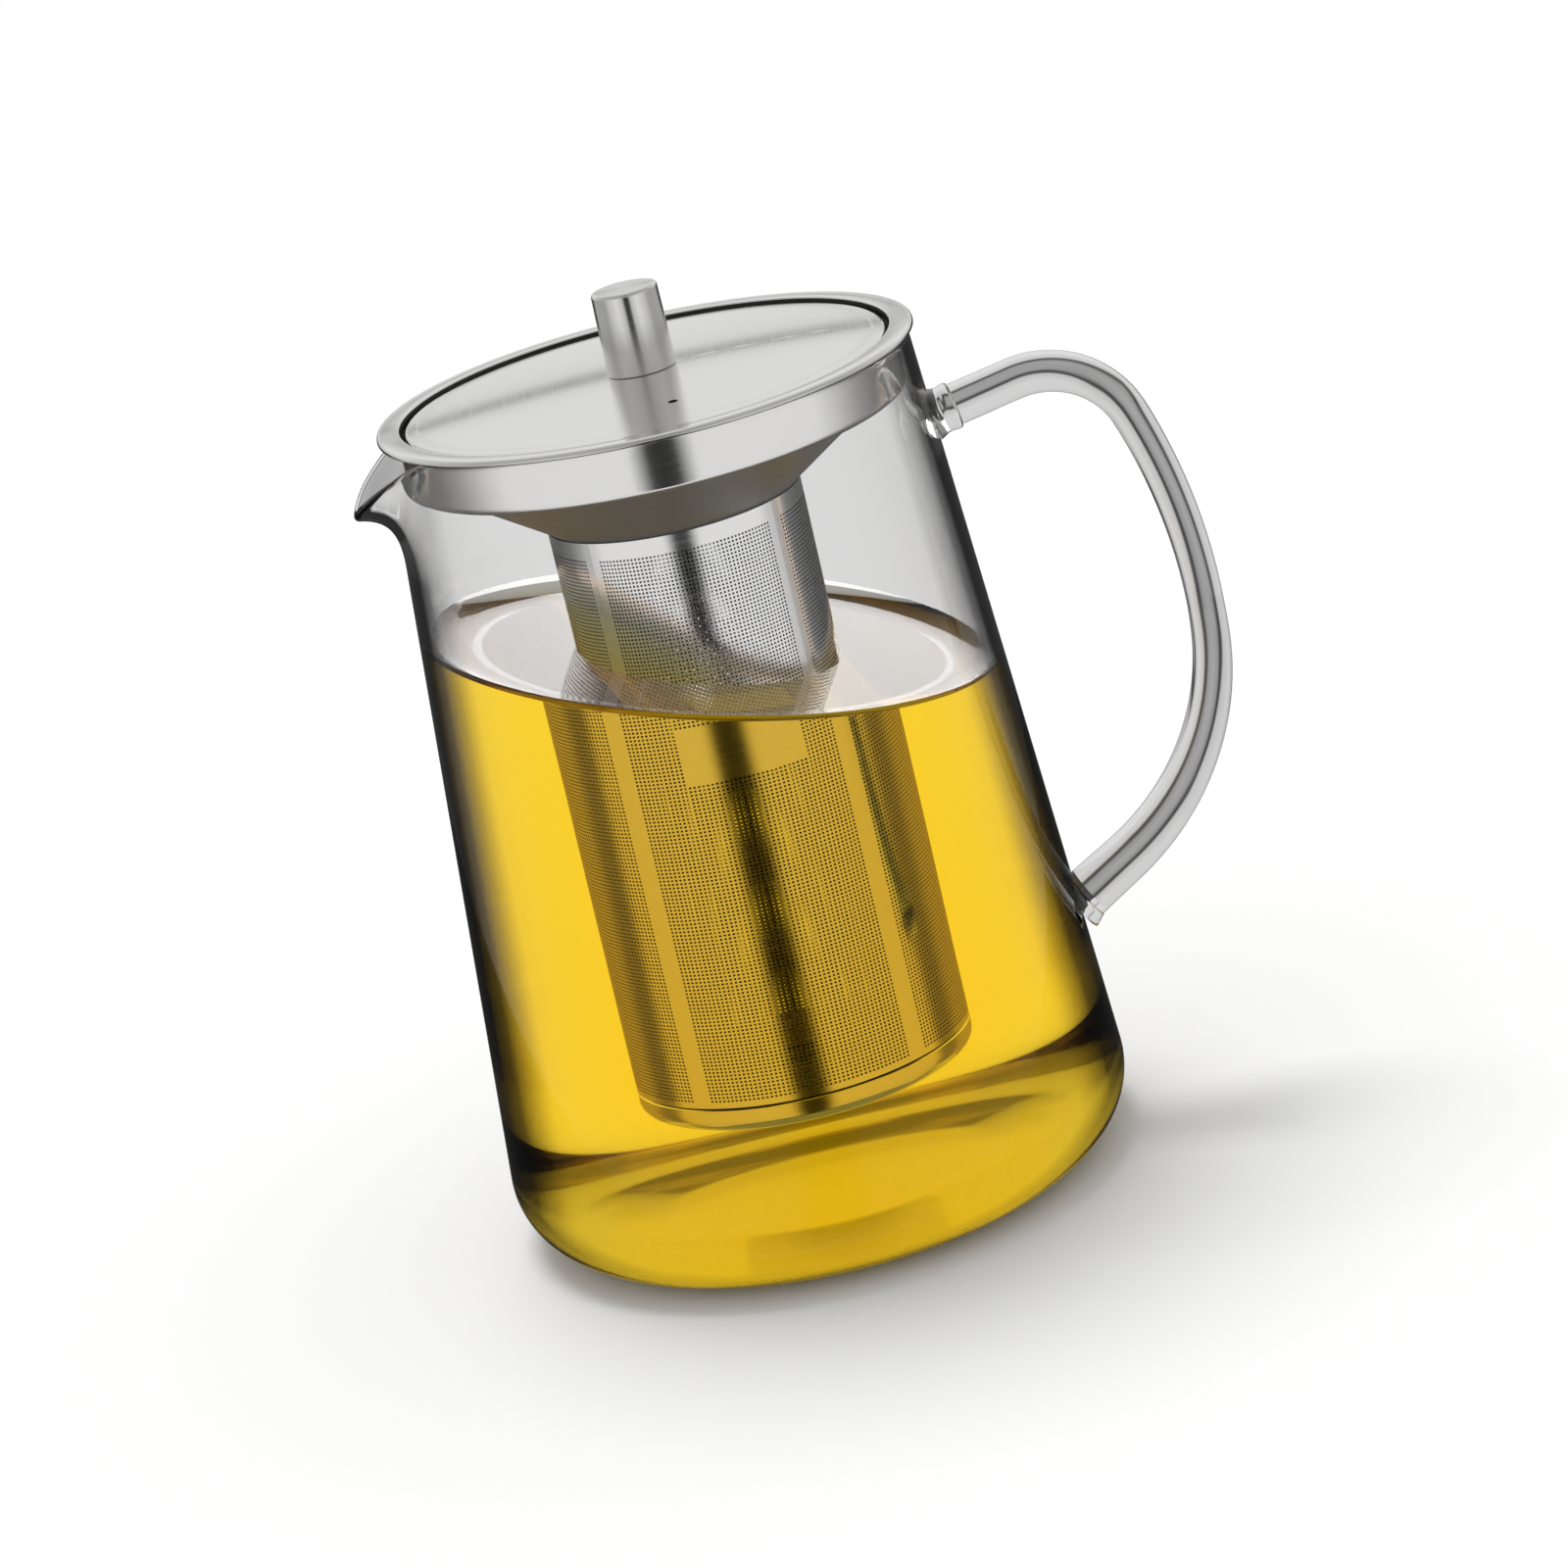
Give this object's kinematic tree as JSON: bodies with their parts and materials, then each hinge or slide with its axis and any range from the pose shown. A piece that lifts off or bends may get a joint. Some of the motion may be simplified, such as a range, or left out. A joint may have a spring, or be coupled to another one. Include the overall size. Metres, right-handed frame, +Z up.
{
  "type": "glass teapot",
  "caption": "Tapered clear glass teapot with a pulled pouring lip and a fused glass handle, holding a lift-out steel infuser under a loose steel lid with a knob.",
  "frame": {"origin": "centre of the base on the pot's axis, on the plane of the foot ring that it stands on", "axes": "+Z up along the pot's axis, the pouring lip points to -X, the handle to +X, and +Y runs away from the viewer of the picture"},
  "size_m": [0.1737, 0.1336, 0.1982],
  "materials": {
    "clear_glass": "clear blown borosilicate glass, fire polished",
    "polished_steel": "drawn stainless sheet, polished",
    "strainer_steel": "finely perforated stainless sheet, bright",
    "brushed_steel": "stainless, finely brushed, satin",
    "plain_steel": "plain stainless fastener"
  },
  "bodies": {
    "jug": {"glass_body": "clear_glass", "glass_handle": "clear_glass", "upper_handle_weld": "clear_glass", "lower_handle_weld": "clear_glass"},
    "infuser": {"infuser_collar": "polished_steel", "strainer_tube": "strainer_steel", "strainer_base": "strainer_steel"},
    "lid": {"lid_plate": "brushed_steel", "lid_skirt": "polished_steel", "lid_knob": "brushed_steel", "screw_washer": "plain_steel", "knob_screw": "plain_steel"}
  },
  "joints": [
    {"name": "infuser_lift", "type": "slide", "parent": "jug", "child": "infuser", "axis": [0, 0, 1], "range_m": [0, 0.165]},
    {"name": "lid_lift", "type": "slide", "parent": "infuser", "child": "lid", "axis": [0, 0, 1], "range_m": [0, 0.06]}
  ]
}
